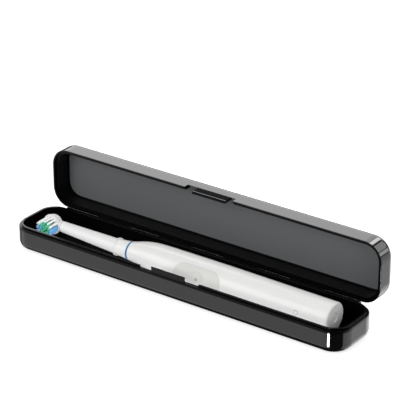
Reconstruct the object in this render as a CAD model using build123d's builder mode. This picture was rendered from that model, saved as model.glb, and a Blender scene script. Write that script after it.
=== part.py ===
# Electric toothbrush travel case, lid open, with the brush that it carries.
#
# Frame: millimetres, +Z up. The origin is the centre of the underside, on the surface that the
# case stands on. X runs along the case with the brush head at -X, -Y is the latch side that
# faces the user and +Y is the hinge side. The lid stands open by a right angle, as it is used.
import os
from math import cos, pi, radians, sin, sqrt

from build123d import *

os.makedirs("parts", exist_ok=True)

# ---------------------------------------------------------------- driving dimensions: the case
CASE_L = 240.0          # length over all, from a 76 mm refill head lying in it
CASE_W = 39.0           # depth of the shells, front to back
CORNER_R = 12.0         # plan corners
BASE_H = 14.7           # base shell, underside to rim
LID_D = 14.3            # lid shell, rim to its outer face
EDGE_R = 5.0            # soft outer edge of both shells
RIM_R = 0.35            # broken edge round each rim
WALL = 2.6              # side walls
FLOOR = 2.0             # floor of the base and roof of the lid
INNER_R = 1.2           # moulding radius where wall meets floor
SEAM = 0.1              # gap between the two rims when shut

LEDGE = 1.4             # outer ledge of the base rim, outside the raised lip
LIP_H = 1.3             # raised lip that the lid drops over
LIP_FIT = 0.15          # side play between lip and lid
LIP_HEADROOM = 0.2      # play above the lip
LIP_GAP = 21.5          # half width of the break in the lip at the latch

# hinge: pin axis just outside the back wall, a little below the rim
HINGE_Y = CASE_W / 2 + 1.1
HINGE_Z = BASE_H - 1.4
HINGE_LEN = CASE_L - 2 * CORNER_R
KNUCKLE_R = 1.9
KNUCKLES = 9            # five on the base, four on the lid
KNUCKLE_GAP = 0.4
KNUCKLE_ROOT = 4.6      # how far the web of a knuckle runs down its wall
KNUCKLE_RELIEF = 0.25   # play between a knuckle and the other shell
PIN_R = 0.8
PIN_FIT = 0.05

# latch: a springy tongue on the base, outside a hook bar on the lid
TONGUE_W = 24.0
TONGUE_TOP = BASE_H + 3.6
TONGUE_PIVOT = (-18.6, BASE_H - 0.7)    # (y, z) of the bending line
TONGUE_ROOT_R = 0.5
TONGUE_OUTER = -19.05
TONGUE_INNER = -18.1
TONGUE_BARB = 0.1
NOTCH_W = 35.0
NOTCH_H = 3.7
BAR_W = 24.0
BAR_OUTER = -17.8
BAR_INNER = -16.3
BAR_H = 5.2
BAR_BEAD = 0.12

# ---------------------------------------------------------------- driving dimensions: the brush
AXIS_Z = 12.4           # height of the brush axis above the table, brush lying in the tray
BUTTON_TILT = 8.0       # degrees that the button side is rolled up from facing the user
GRIP_R = 10.0           # handle radius under the button pad
GRIP_START, GRIP_FLAT, GRIP_END = -8.0, 30.0, 101.0
TAIL_R = 9.4            # handle radius at its end
NOSE_X = -40.8          # shoulder that the refill head butts against
CAP_END = 104.0
BORE_R = 8.0
MOTOR_BORE_R = 5.4
NOSE_BORE_R = 3.0
SPIGOT_R = 4.1
SPIGOT_X = -49.5
# (station x, radius, shift of the centre towards the back)
NOSE_SECTIONS = (
    (NOSE_X, 5.95, 0.3),
    (-37.0, 6.75, 0.8),
    (-32.0, 7.9, 1.3),
    (-26.0, 8.9, 1.15),
    (-19.0, 9.55, 0.6),
    (-13.0, 9.9, 0.2),
    (GRIP_START, GRIP_R, 0.0),
)

PAD_X = 14.0            # centre of the button pad along the handle
PAD_L, PAD_W = 34.0, 14.6
PAD_SEAT_R = 9.2
PAD_PROUD = 0.12
BUTTON_R = 4.3
BUTTON_FIT = 0.12
MARK_R = 1.0
LED_R = 0.4
LED_SHIFT = -3.0
LIGHT_X = 83.5
LIGHT_R = 1.5

SHAFT_R = 1.5
SHAFT_TIP = -64.5
BOARD_FRONT, BOARD_BACK = 6.15, 5.15    # distance of the board's faces in front of the axis
BOARD_HALF = 4.6
CELL_R, CELL_L, CELL_X, CELL_BACK = 5.0, 44.0, 28.0, 0.8

COLLAR_X = -41.9
FLANGE_X = -50.6
FLANGE_R = 5.7
COLLAR_BORE_R = 4.25
# the neck is a cone that leans back towards the head
NECK_START, NECK_START_R = -51.6, 4.75
NECK_END, NECK_END_R, NECK_END_BACK = -97.0, 3.4, 1.9
HEAD_X = -104.0         # axis of the round brush plate
HOUSING_R = 5.7
HOUSING_FRONT, HOUSING_BACK = 1.6, 5.9
HOUSING_EDGE = 2.6
CAVITY_R, CAVITY_BACK = 4.7, 3.9
PLATE_R = 6.5
PLATE_BACK, PLATE_FRONT = 1.4, -0.3
PLATE_PLAY = 0.4
AXLE_R = 1.25
CRANK_X = HEAD_X + 2.4  # ball of the crank, beside the plate's axle
CRANK_ARM = 2.7         # how far the crank stands off the brush axis
CRANK_ARM_X = -96.7
BALL_R = 0.65
CRANK_PIN_R = 0.4
TUFT_L = 7.5

# ---------------------------------------------------------------- planes and small helpers
BRUSH_AXIS = Axis((0, 0, AXIS_Z), (1, 0, 0))
HEAD_AXIS = Axis((HEAD_X, 0, AXIS_Z), (0, 1, 0))
LID_BASE = BASE_H + SEAM


def lid_plan(height):
    """Plan view of the lid at a height over the table when shut, drawn where the open lid is."""
    return Plane((0, HINGE_Y - HINGE_Z + height, HINGE_Z + HINGE_Y), x_dir=(1, 0, 0), z_dir=(0, 1, 0))


def across_lid(x):
    """Cross-section of the lid in its shut y and z, drawn where the open lid is."""
    return Plane((x, HINGE_Y - HINGE_Z, HINGE_Z + HINGE_Y), x_dir=(0, 0, -1), z_dir=(1, 0, 0))


def across(x):
    """Cross-section of the case or the refill head: local x is Y, local y is Z."""
    return Plane((x, 0, 0), x_dir=(0, 1, 0), z_dir=(1, 0, 0))


def bristle_side(distance=0.0):
    """Plane facing the user, that far in front of the brush axis: local x is X, local y is up."""
    return Plane((0, -distance, AXIS_Z), x_dir=(1, 0, 0), z_dir=(0, -1, 0))


def button_side(distance=0.0):
    """The same for the handle, which lies rolled by BUTTON_TILT so that its buttons look up a little."""
    ahead = Vector(0, -cos(radians(BUTTON_TILT)), sin(radians(BUTTON_TILT)))
    return Plane(Vector(0, 0, AXIS_Z) + ahead * distance, x_dir=(1, 0, 0), z_dir=ahead)


def across_handle(x):
    """Cross-section of the handle about its axis: local x points away from the buttons."""
    behind = Vector(0, cos(radians(BUTTON_TILT)), -sin(radians(BUTTON_TILT)))
    return Plane((x, 0, AXIS_Z), x_dir=behind, z_dir=(1, 0, 0))


def save(part, name):
    part.label = name
    export_step(part, f"parts/{name}.step")


KNUCKLE_PITCH = HINGE_LEN / KNUCKLES
knuckle_starts = [-HINGE_LEN / 2 + i * KNUCKLE_PITCH for i in range(KNUCKLES)]
base_starts, lid_starts = knuckle_starts[0::2], knuckle_starts[1::2]
KNUCKLE_L = KNUCKLE_PITCH - KNUCKLE_GAP

# ---------------------------------------------------------------- base shell
with BuildPart() as base_shell:
    with BuildSketch(Plane.XY):
        RectangleRounded(CASE_L, CASE_W, CORNER_R)
    extrude(amount=BASE_H)
    fillet(base_shell.edges().group_by(Axis.Z)[0], EDGE_R)
    fillet(base_shell.edges().group_by(Axis.Z)[-1], RIM_R)
    with BuildSketch(Plane.XY.offset(FLOOR)):
        RectangleRounded(CASE_L - 2 * WALL, CASE_W - 2 * WALL, CORNER_R - WALL)
    extrude(amount=BASE_H, mode=Mode.SUBTRACT)
    fillet(base_shell.edges().filter_by_position(Axis.Z, FLOOR - 0.01, FLOOR + 0.01), INNER_R)
    # raised lip, broken at the latch
    with BuildSketch(Plane.XY.offset(BASE_H - 0.5)):
        RectangleRounded(CASE_L - 2 * LEDGE, CASE_W - 2 * LEDGE, CORNER_R - LEDGE)
        RectangleRounded(CASE_L - 2 * WALL, CASE_W - 2 * WALL, CORNER_R - WALL, mode=Mode.SUBTRACT)
        with Locations((0, -CASE_W / 2)):
            Rectangle(2 * LIP_GAP, 4 * WALL, mode=Mode.SUBTRACT)
    extrude(amount=LIP_H + 0.5)
    # slot that holds the root of the latch tongue
    slot_y = (TONGUE_OUTER + TONGUE_INNER) / 2
    with BuildSketch(across(-TONGUE_W / 2 - 0.15)):
        with Locations(TONGUE_PIVOT):
            Circle(TONGUE_ROOT_R + 0.08)
        with Locations((slot_y, TONGUE_PIVOT[1] + 1.0)):
            Rectangle(TONGUE_INNER - TONGUE_OUTER + 0.2, 2.0)
    extrude(amount=TONGUE_W + 0.3, mode=Mode.SUBTRACT)
    # clearance for the lid's knuckles, then the base's own knuckles
    for start in lid_starts:
        with BuildSketch(across(start - KNUCKLE_GAP)):
            with Locations((HINGE_Y, HINGE_Z)):
                Circle(KNUCKLE_R + KNUCKLE_RELIEF)
            with Locations((HINGE_Y, HINGE_Z + 1.0)):
                Rectangle(2 * (KNUCKLE_R + KNUCKLE_RELIEF), 2.0)
        extrude(amount=KNUCKLE_PITCH + KNUCKLE_GAP, mode=Mode.SUBTRACT)
    for start in base_starts:
        with BuildSketch(across(start)):
            with Locations((HINGE_Y, HINGE_Z)):
                Circle(KNUCKLE_R)
            with Locations((CASE_W / 2 - 0.5, HINGE_Z - KNUCKLE_ROOT)):
                Circle(0.5)
            make_hull()
        extrude(amount=KNUCKLE_L)
    with BuildSketch(across(-HINGE_LEN / 2 - 1)):
        with Locations((HINGE_Y, HINGE_Z)):
            Circle(PIN_R)
    extrude(amount=HINGE_LEN + 2, mode=Mode.SUBTRACT)
save(base_shell.part, "base_shell")

# ---------------------------------------------------------------- hinge pin, pressed into the base
with BuildPart() as hinge_pin:
    with BuildSketch(across(-HINGE_LEN / 2 + 0.3)):
        with Locations((HINGE_Y, HINGE_Z)):
            Circle(PIN_R)
    extrude(amount=HINGE_LEN - 1.0)
    chamfer(hinge_pin.edges(), 0.2)
save(hinge_pin.part, "hinge_pin")

# ---------------------------------------------------------------- latch tongue
with BuildPart() as latch_tongue:
    with BuildSketch(across(-TONGUE_W / 2)):
        with Locations(TONGUE_PIVOT):
            Circle(TONGUE_ROOT_R)
        with BuildLine():
            Polyline(
                (TONGUE_INNER, TONGUE_PIVOT[1]),
                (TONGUE_INNER, TONGUE_TOP - 1.3),
                (TONGUE_INNER + TONGUE_BARB, TONGUE_TOP - 1.0),
                (TONGUE_INNER + TONGUE_BARB, TONGUE_TOP - 0.5),
                (TONGUE_INNER - 0.3, TONGUE_TOP),
                (TONGUE_OUTER + 0.25, TONGUE_TOP),
                (TONGUE_OUTER, TONGUE_TOP - 0.3),
                (TONGUE_OUTER, BASE_H + 1.4),
                (TONGUE_OUTER - 0.35, BASE_H + 0.22),
                (TONGUE_OUTER - 0.02, BASE_H + 0.16),
                (TONGUE_OUTER - 0.02, TONGUE_PIVOT[1] + 0.1),
                close=True,
            )
        make_face()
    extrude(amount=TONGUE_W)
save(latch_tongue.part, "latch_tongue")

# ---------------------------------------------------------------- lid shell, drawn open
with BuildPart() as lid_shell:
    with BuildSketch(lid_plan(LID_BASE)):
        RectangleRounded(CASE_L, CASE_W, CORNER_R)
    extrude(amount=LID_D)
    fillet(lid_shell.edges().group_by(Axis.Y)[-1], EDGE_R)
    fillet(lid_shell.edges().group_by(Axis.Y)[0], RIM_R)
    with BuildSketch(lid_plan(LID_BASE)):
        RectangleRounded(CASE_L - 2 * WALL, CASE_W - 2 * WALL, CORNER_R - WALL)
    extrude(amount=LID_D - FLOOR, mode=Mode.SUBTRACT)
    roof_y = lid_plan(LID_BASE + LID_D - FLOOR).origin.Y
    fillet(lid_shell.edges().filter_by_position(Axis.Y, roof_y - 0.01, roof_y + 0.01), INNER_R)
    # step that drops over the lip of the base
    step = LEDGE - LIP_FIT
    with BuildSketch(lid_plan(LID_BASE)):
        RectangleRounded(CASE_L - 2 * step, CASE_W - 2 * step, CORNER_R - step)
    extrude(amount=LIP_H + LIP_HEADROOM, mode=Mode.SUBTRACT)
    # notch in the front wall for the latch tongue, and the hook bar behind it
    with BuildSketch(lid_plan(LID_BASE)):
        with Locations((0, -CASE_W / 2 + 1.0)):
            Rectangle(NOTCH_W, 2 * WALL)
    extrude(amount=NOTCH_H, mode=Mode.SUBTRACT)
    with BuildSketch(across_lid(-BAR_W / 2)):
        with BuildLine():
            Polyline(
                (BAR_INNER, LID_BASE),
                (BAR_OUTER - BAR_BEAD + 0.3, LID_BASE),
                (BAR_OUTER - BAR_BEAD, LID_BASE + 0.4),
                (BAR_OUTER - BAR_BEAD, LID_BASE + 0.9),
                (BAR_OUTER, LID_BASE + 1.3),
                (BAR_OUTER, LID_BASE + BAR_H + 0.8),
                (BAR_INNER - 0.6, LID_BASE + BAR_H + 0.8),
                (BAR_INNER, LID_BASE + BAR_H),
                close=True,
            )
        make_face()
    extrude(amount=BAR_W)
    # clearance for the base's knuckles, then the lid's own knuckles
    for start in base_starts:
        with BuildSketch(across_lid(start - KNUCKLE_GAP)):
            with Locations((HINGE_Y, HINGE_Z)):
                Circle(KNUCKLE_R + KNUCKLE_RELIEF)
        extrude(amount=KNUCKLE_PITCH + KNUCKLE_GAP, mode=Mode.SUBTRACT)
    for start in lid_starts:
        with BuildSketch(across_lid(start)):
            with Locations((HINGE_Y, HINGE_Z)):
                Circle(KNUCKLE_R)
            with Locations((CASE_W / 2 - 0.2, LID_BASE + KNUCKLE_ROOT - 1.0)):
                Circle(0.5)
            make_hull()
        extrude(amount=KNUCKLE_L)
    with BuildSketch(across_lid(-HINGE_LEN / 2)):
        with Locations((HINGE_Y, HINGE_Z)):
            Circle(PIN_R + PIN_FIT)
    extrude(amount=HINGE_LEN, mode=Mode.SUBTRACT)
save(lid_shell.part, "lid_shell")

# ---------------------------------------------------------------- cradles under the handle
CRADLE_T = 2.4
CRADLE_W = 18.0
CRADLE_TOP = 6.0
CRADLE_PLAY = 0.3
for name, x, radius in (("cradle_front", 34.0, GRIP_R), ("cradle_rear", 84.0, GRIP_R - 0.3)):
    with BuildPart() as cradle:
        with BuildSketch(across(x - CRADLE_T / 2)):
            with Locations((0, (CRADLE_TOP + FLOOR) / 2)):
                Rectangle(CRADLE_W, CRADLE_TOP - FLOOR)
            with Locations((0, AXIS_Z)):
                Circle(radius + CRADLE_PLAY, mode=Mode.SUBTRACT)
        extrude(amount=CRADLE_T)
    save(cradle.part, name)

# ---------------------------------------------------------------- seats in the handle wall
with BuildPart() as pad_seat:
    with BuildSketch(button_side(6.0)):
        with Locations((PAD_X, 0)):
            SlotOverall(PAD_L, PAD_W)
    extrude(amount=6.0)
    with BuildSketch(across_handle(PAD_X - PAD_L)):
        Circle(PAD_SEAT_R)
    extrude(amount=2 * PAD_L, mode=Mode.SUBTRACT)

# ---------------------------------------------------------------- handle shell
with BuildPart() as handle_shell:
    for x, radius, back in NOSE_SECTIONS:
        with BuildSketch(across(x)):
            with Locations((back, AXIS_Z)):
                Circle(radius)
    loft()
    with BuildSketch(button_side()):
        with BuildLine():
            Line((GRIP_START, 0), (GRIP_START, GRIP_R))
            Line((GRIP_START, GRIP_R), (GRIP_FLAT, GRIP_R))
            Line((GRIP_FLAT, GRIP_R), (GRIP_END, TAIL_R))
            Line((GRIP_END, TAIL_R), (GRIP_END, 0))
            Line((GRIP_END, 0), (GRIP_START, 0))
        make_face()
        with BuildLine():
            Polyline((NOSE_X + 1, 0), (NOSE_X + 1, SPIGOT_R), (SPIGOT_X + 0.5, SPIGOT_R),
                     (SPIGOT_X, SPIGOT_R - 0.5), (SPIGOT_X, 0), close=True)
        make_face()
    revolve(axis=BRUSH_AXIS)
    # stepped bore for the drive, the cell and the board
    with BuildSketch(button_side()):
        with BuildLine():
            Polyline((SPIGOT_X - 1, 0), (SPIGOT_X - 1, NOSE_BORE_R), (-20, NOSE_BORE_R),
                     (-20, MOTOR_BORE_R), (-5, MOTOR_BORE_R), (-5, BORE_R), (GRIP_END + 1, BORE_R),
                     (GRIP_END + 1, 0), close=True)
        make_face()
    revolve(axis=BRUSH_AXIS, mode=Mode.SUBTRACT)
    add(pad_seat.part, mode=Mode.SUBTRACT)
    # well of the power button, with room inside for its flange
    with BuildSketch(button_side(5.0)):
        with Locations((PAD_X, 0)):
            Circle(BUTTON_R + BUTTON_FIT)
    extrude(amount=6.0, mode=Mode.SUBTRACT)
    with BuildSketch(button_side(4.0)):
        with Locations((PAD_X, 0)):
            Circle(BUTTON_R + 0.85)
    extrude(amount=3.3, mode=Mode.SUBTRACT)
    with BuildSketch(button_side(6.0)):
        with Locations((LIGHT_X, 0)):
            Circle(LIGHT_R)
    extrude(amount=6.0, mode=Mode.SUBTRACT)
save(handle_shell.part, "handle_shell")

# ---------------------------------------------------------------- button pad
with BuildPart() as control_pad:
    with BuildSketch(button_side(6.0)):
        with Locations((PAD_X, 0)):
            SlotOverall(PAD_L, PAD_W)
            Circle(BUTTON_R + BUTTON_FIT, mode=Mode.SUBTRACT)
    extrude(amount=6.0)
    with BuildSketch(across_handle(PAD_X - PAD_L)):
        Circle(GRIP_R + PAD_PROUD)
        Circle(PAD_SEAT_R, mode=Mode.SUBTRACT)
    extrude(amount=2 * PAD_L, mode=Mode.INTERSECT)
save(control_pad.part, "control_pad")

# ---------------------------------------------------------------- power button
BUTTON_FLOOR = 7.95     # underside of the cap, in front of the axis
with BuildPart() as power_button:
    with BuildSketch(button_side(BUTTON_FLOOR)):
        with Locations((PAD_X, 0)):
            Circle(BUTTON_R)
    extrude(amount=4.0)
    with BuildSketch(across_handle(PAD_X - 6)):
        Circle(GRIP_R + PAD_PROUD + 0.1)
    extrude(amount=12, mode=Mode.INTERSECT)
    # skirt and flange that keep it in its well, and the nub over the switch
    with BuildSketch(button_side(BUTTON_FLOOR)):
        with Locations((PAD_X, 0)):
            Circle(BUTTON_R)
            Circle(BUTTON_R - 0.7, mode=Mode.SUBTRACT)
    extrude(amount=-1.15)
    with BuildSketch(button_side(BUTTON_FLOOR - 1.15)):
        with Locations((PAD_X, 0)):
            Circle(BUTTON_R + 0.7)
            Circle(BUTTON_R - 0.7, mode=Mode.SUBTRACT)
    extrude(amount=0.4)
    with BuildSketch(button_side(BUTTON_FLOOR)):
        with Locations((PAD_X, 0)):
            Circle(1.3)
    extrude(amount=-0.3)
    # pockets for the two small windows
    with BuildSketch(button_side(9.4)):
        with Locations((PAD_X, 0)):
            Circle(MARK_R)
        with Locations((PAD_X + LED_SHIFT, 0)):
            Circle(LED_R)
    extrude(amount=2.0, mode=Mode.SUBTRACT)
save(power_button.part, "power_button")

for name, x, radius in (("power_mark", PAD_X, MARK_R), ("status_led", PAD_X + LED_SHIFT, LED_R)):
    with BuildPart() as window:
        with BuildSketch(button_side(9.4)):
            with Locations((x, 0)):
                Circle(radius)
        extrude(amount=2.0)
        with BuildSketch(across_handle(x - 3)):
            Circle(GRIP_R + PAD_PROUD + 0.12)
        extrude(amount=6, mode=Mode.INTERSECT)
    save(window.part, name)

# ---------------------------------------------------------------- charging light near the tail
LIGHT_SURFACE_R = GRIP_R - (GRIP_R - TAIL_R) * (LIGHT_X - GRIP_FLAT) / (GRIP_END - GRIP_FLAT) + 0.05
with BuildPart() as charge_light:
    with BuildSketch(button_side(7.2)):
        with Locations((LIGHT_X, 0)):
            Circle(LIGHT_R)
    extrude(amount=4.0)
    with BuildSketch(across_handle(LIGHT_X - 3)):
        Circle(LIGHT_SURFACE_R)
    extrude(amount=6, mode=Mode.INTERSECT)
save(charge_light.part, "charge_light")

# ---------------------------------------------------------------- tail: cap, seal, charging coil
with BuildPart() as end_cap:
    with BuildSketch(button_side()):
        with BuildLine():
            Polyline((98.6, 0), (98.6, 7.5), (98.9, 7.9), (99.3, 7.9), (99.3, 7.0), (100.4, 7.0),
                     (100.4, 7.9), (GRIP_END, 7.9), (GRIP_END, TAIL_R))
            Polyline((GRIP_END, TAIL_R), (CAP_END - 0.9, TAIL_R), (CAP_END - 0.3, TAIL_R - 0.3),
                     (CAP_END, TAIL_R - 0.9), (CAP_END, 3.0), (CAP_END - 0.8, 2.4), (CAP_END - 0.8, 0),
                     (98.6, 0))
        make_face()
    revolve(axis=BRUSH_AXIS)
save(end_cap.part, "end_cap")

with BuildPart() as end_seal:
    with BuildSketch(button_side()):
        with BuildLine():
            Polyline((99.45, 7.1), (99.45, 7.75), (99.65, 7.95), (100.05, 7.95), (100.25, 7.75),
                     (100.25, 7.1), close=True)
        make_face()
    revolve(axis=BRUSH_AXIS)
save(end_seal.part, "end_seal")

with BuildPart() as coil_bobbin:
    with BuildSketch(button_side()):
        with BuildLine():
            Polyline((91.0, 2.0), (91.0, 7.5), (92.2, 7.5), (92.2, 4.5), (96.8, 4.5), (96.8, 7.5),
                     (98.0, 7.5), (98.0, 2.0), close=True)
        make_face()
    revolve(axis=BRUSH_AXIS)
save(coil_bobbin.part, "coil_bobbin")

with BuildPart() as charging_coil:
    with BuildSketch(across_handle(92.2)):
        Circle(7.2)
        Circle(4.5, mode=Mode.SUBTRACT)
    extrude(amount=4.6)
    chamfer(charging_coil.edges().filter_by(GeomType.CIRCLE).group_by(SortBy.RADIUS)[-1], 0.3)
save(charging_coil.part, "charging_coil")

# ---------------------------------------------------------------- chassis, cell, board, switch
with BuildPart() as chassis:
    with BuildSketch(across_handle(17.0)):
        Circle(7.8)
        Circle(6.5, mode=Mode.SUBTRACT)
        with Locations((-5.6, 0)):
            Rectangle(9.6, 20, mode=Mode.SUBTRACT)
    extrude(amount=73.0)
    # bulkheads at both ends of the cell
    for x in (22.0, CELL_X + CELL_L + 0.5):
        with BuildSketch(across_handle(x)):
            Circle(7.8)
            with Locations((-7.9, 0)):
                Rectangle(6.2, 20, mode=Mode.SUBTRACT)
            Circle(1.6, mode=Mode.SUBTRACT)
        extrude(amount=1.6)
save(chassis.part, "chassis")

with BuildPart() as battery_cell:
    with BuildSketch(across_handle(CELL_X)):
        with Locations((CELL_BACK, 0)):
            Circle(CELL_R)
    extrude(amount=CELL_L - 1.0)
    chamfer(battery_cell.edges().filter_by(GeomType.CIRCLE), 0.4)
    with BuildSketch(across_handle(CELL_X + CELL_L - 1.5)):
        with Locations((CELL_BACK, 0)):
            Circle(1.8)
    extrude(amount=1.5)
save(battery_cell.part, "battery_cell")

with BuildPart() as circuit_board:
    with BuildSketch(button_side(BOARD_BACK)):
        with Locations((44.0, 0)):
            RectangleRounded(84.0, 2 * BOARD_HALF, 0.8)
        with Locations((5.0, 3.2), (5.0, -3.2), (83.0, 3.2), (83.0, -3.2)):
            Circle(0.6, mode=Mode.SUBTRACT)
    extrude(amount=BOARD_FRONT - BOARD_BACK)
    # the chips on it
    with BuildSketch(button_side(BOARD_FRONT)):
        with Locations((24.0, 0)):
            Rectangle(6.0, 5.0)
        with Locations((36.0, 1.2), (40.0, 1.2), (44.0, 1.2), (36.0, -1.6), (42.0, -1.6)):
            Rectangle(2.0, 1.2)
    extrude(amount=0.6)
save(circuit_board.part, "circuit_board")

with BuildPart() as tact_switch:
    with BuildSketch(button_side(BOARD_FRONT)):
        with Locations((PAD_X, 0)):
            RectangleRounded(3.4, 3.4, 0.4)
    extrude(amount=0.55)
    with BuildSketch(button_side(BOARD_FRONT + 0.55)):
        with Locations((PAD_X, 0)):
            Circle(0.9)
    extrude(amount=0.3)
save(tact_switch.part, "tact_switch")

# ---------------------------------------------------------------- drive in the handle
with BuildPart() as motor_can:
    with BuildSketch(button_side()):
        with BuildLine():
            Polyline((-9.0, 3.0), (-9.0, 5.0), (15.0, 5.0), (15.0, 3.0), (13.0, 3.0), (13.0, 4.4),
                     (-7.0, 4.4), (-7.0, 3.0), close=True)
        make_face()
    revolve(axis=BRUSH_AXIS)
save(motor_can.part, "motor_can")

for name, x in (("front_bearing", -9.0), ("rear_bearing", 13.0)):
    with BuildPart() as bearing:
        with BuildSketch(across_handle(x)):
            Circle(3.0)
            Circle(SHAFT_R + 0.04, mode=Mode.SUBTRACT)
        extrude(amount=2.0)
    save(bearing.part, name)

with BuildPart() as drive_shaft:
    with BuildSketch(across_handle(SHAFT_TIP)):
        Circle(SHAFT_R)
    extrude(amount=15.0 - SHAFT_TIP)
    chamfer(drive_shaft.edges().group_by(Axis.X)[0], 0.3)
    # flat that keys it to the refill head
    with BuildSketch(across_handle(SHAFT_TIP)):
        with Locations((0, SHAFT_R)):
            Rectangle(4, 1.0)
    extrude(amount=6.0, mode=Mode.SUBTRACT)
save(drive_shaft.part, "drive_shaft")

with BuildPart() as rotor_magnet:
    with BuildSketch(across_handle(-5.0)):
        Circle(4.0)
        Circle(SHAFT_R, mode=Mode.SUBTRACT)
    extrude(amount=16.0)
save(rotor_magnet.part, "rotor_magnet")

with BuildPart() as shaft_seal:
    with BuildSketch(button_side()):
        with BuildLine():
            Polyline((-49.3, SHAFT_R + 0.06), (-49.3, 2.2), (-48.0, 2.95), (-44.5, 2.95),
                     (-44.5, SHAFT_R + 0.06), (-45.3, SHAFT_R + 0.06), (-45.6, 2.1), (-48.0, 2.1),
                     (-48.5, SHAFT_R + 0.06), close=True)
        make_face()
    revolve(axis=BRUSH_AXIS)
save(shaft_seal.part, "shaft_seal")

# ---------------------------------------------------------------- refill head: collar and ring
with BuildPart() as head_collar:
    with BuildSketch(bristle_side()):
        with BuildLine():
            Line((COLLAR_X, COLLAR_BORE_R), (COLLAR_X, 5.85))
            ThreePointArc((COLLAR_X, 5.85), (-46.5, 5.28), (FLANGE_X, 5.1))
            Polyline((FLANGE_X, 5.1), (FLANGE_X, FLANGE_R - 0.15), (FLANGE_X - 0.15, FLANGE_R),
                     (FLANGE_X - 0.85, FLANGE_R), (FLANGE_X - 1.0, FLANGE_R - 0.15),
                     (FLANGE_X - 1.0, COLLAR_BORE_R), (COLLAR_X, COLLAR_BORE_R))
        make_face()
    revolve(axis=BRUSH_AXIS)
save(head_collar.part, "head_collar")

with BuildPart() as id_ring:
    with BuildSketch(across(COLLAR_X)):
        with Locations((0, AXIS_Z)):
            Circle(6.0)
            Circle(COLLAR_BORE_R, mode=Mode.SUBTRACT)
    extrude(amount=1.0)
    chamfer(id_ring.edges().filter_by(GeomType.CIRCLE).group_by(SortBy.RADIUS)[-1], 0.2)
save(id_ring.part, "id_ring")

# ---------------------------------------------------------------- refill head: neck and housing
neck_dir = Vector(NECK_END - NECK_START, NECK_END_BACK, 0)
neck_plane = Plane((NECK_START, 0, AXIS_Z), x_dir=neck_dir, z_dir=(0, 0, 1))
with BuildPart() as neck_tube:
    run = NECK_START - NECK_END
    taper = (NECK_START_R - NECK_END_R) / run
    with BuildSketch(neck_plane):
        with BuildLine():
            Polyline((-1, 0), (-1, NECK_START_R + taper), (run, NECK_END_R), (run + 5.0, NECK_END_R),
                     (run + 5.0, 0), close=True)
        make_face()
    revolve(axis=Axis(neck_plane.origin, neck_plane.x_dir))
    with BuildSketch(across(NECK_START)):
        with Locations((0, AXIS_Z)):
            Circle(2 * NECK_START_R)
    extrude(amount=5.0, mode=Mode.SUBTRACT)
    # round housing behind the brush plate, with a soft back edge
    shoulder = (HEAD_X + HOUSING_R, HOUSING_BACK - HOUSING_EDGE)
    crown = (HEAD_X + HOUSING_R - HOUSING_EDGE, HOUSING_BACK)
    with BuildSketch(Plane.XY.offset(AXIS_Z)):
        with BuildLine():
            Polyline(crown, (HEAD_X, HOUSING_BACK), (HEAD_X, HOUSING_FRONT),
                     (HEAD_X + HOUSING_R, HOUSING_FRONT), shoulder)
            TangentArc(shoulder, crown, tangent=(0, 1))
        make_face()
    revolve(axis=HEAD_AXIS)
    # room for the plate, for the fork behind it and for its axle
    with BuildSketch(Plane.XY.offset(AXIS_Z)):
        with BuildLine():
            Polyline((HEAD_X, HOUSING_FRONT - 4), (HEAD_X + PLATE_R + PLATE_PLAY, HOUSING_FRONT - 4),
                     (HEAD_X + PLATE_R + PLATE_PLAY, HOUSING_FRONT), (HEAD_X + CAVITY_R, HOUSING_FRONT),
                     (HEAD_X + CAVITY_R, CAVITY_BACK), (HEAD_X + AXLE_R + 0.1, CAVITY_BACK),
                     (HEAD_X + AXLE_R + 0.1, HOUSING_BACK - 0.9), (HEAD_X, HOUSING_BACK - 0.9), close=True)
        make_face()
    revolve(axis=HEAD_AXIS, mode=Mode.SUBTRACT)
    # bore for the shaft and its link, then the wider end where the crank arm swings
    with BuildSketch(bristle_side()):
        with BuildLine():
            Polyline((-50, 0), (-50, 2.9), (-66.5, 2.9), (-68.0, 1.5), (-97.5, 1.05), (-97.5, 0), close=True)
        make_face()
    revolve(axis=BRUSH_AXIS, mode=Mode.SUBTRACT)
    with BuildSketch(across(CRANK_ARM_X + 1.3)):
        with Locations((NECK_END_BACK, AXIS_Z)):
            Circle(NECK_END_R - 0.7)
    extrude(amount=-4.0, mode=Mode.SUBTRACT)
save(neck_tube.part, "neck_tube")

# ---------------------------------------------------------------- refill head: link with its crank
with BuildPart() as drive_link:
    with BuildSketch(bristle_side()):
        with BuildLine():
            Polyline((-58.0, SHAFT_R + 0.05), (-58.0, 2.5), (-66.0, 2.5), (-67.2, 1.3),
                     (CRANK_ARM_X + 1.0, 0.9), (CRANK_ARM_X + 1.0, 0), (-65.0, 0),
                     (-65.0, SHAFT_R + 0.05), close=True)
        make_face()
    revolve(axis=BRUSH_AXIS)
    with BuildSketch(across(CRANK_ARM_X)):
        with Locations((0, AXIS_Z)):
            Circle(0.9)
        with Locations((CRANK_ARM, AXIS_Z)):
            Circle(0.8)
        make_hull()
    extrude(amount=1.0)
    # ball-ended pin off the arm
    neck_of_ball = (CRANK_X + sqrt(BALL_R**2 - CRANK_PIN_R**2), CRANK_ARM + CRANK_PIN_R)
    with BuildSketch(Plane.XY.offset(AXIS_Z)):
        with BuildLine():
            ThreePointArc((CRANK_X - BALL_R, CRANK_ARM), (CRANK_X, CRANK_ARM + BALL_R), neck_of_ball)
            Polyline(neck_of_ball, (CRANK_ARM_X + 0.5, CRANK_ARM + CRANK_PIN_R),
                     (CRANK_ARM_X + 0.5, CRANK_ARM), (CRANK_X - BALL_R, CRANK_ARM))
        make_face()
    revolve(axis=Axis((CRANK_X, CRANK_ARM, AXIS_Z), (1, 0, 0)))
save(drive_link.part, "drive_link")

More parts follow.
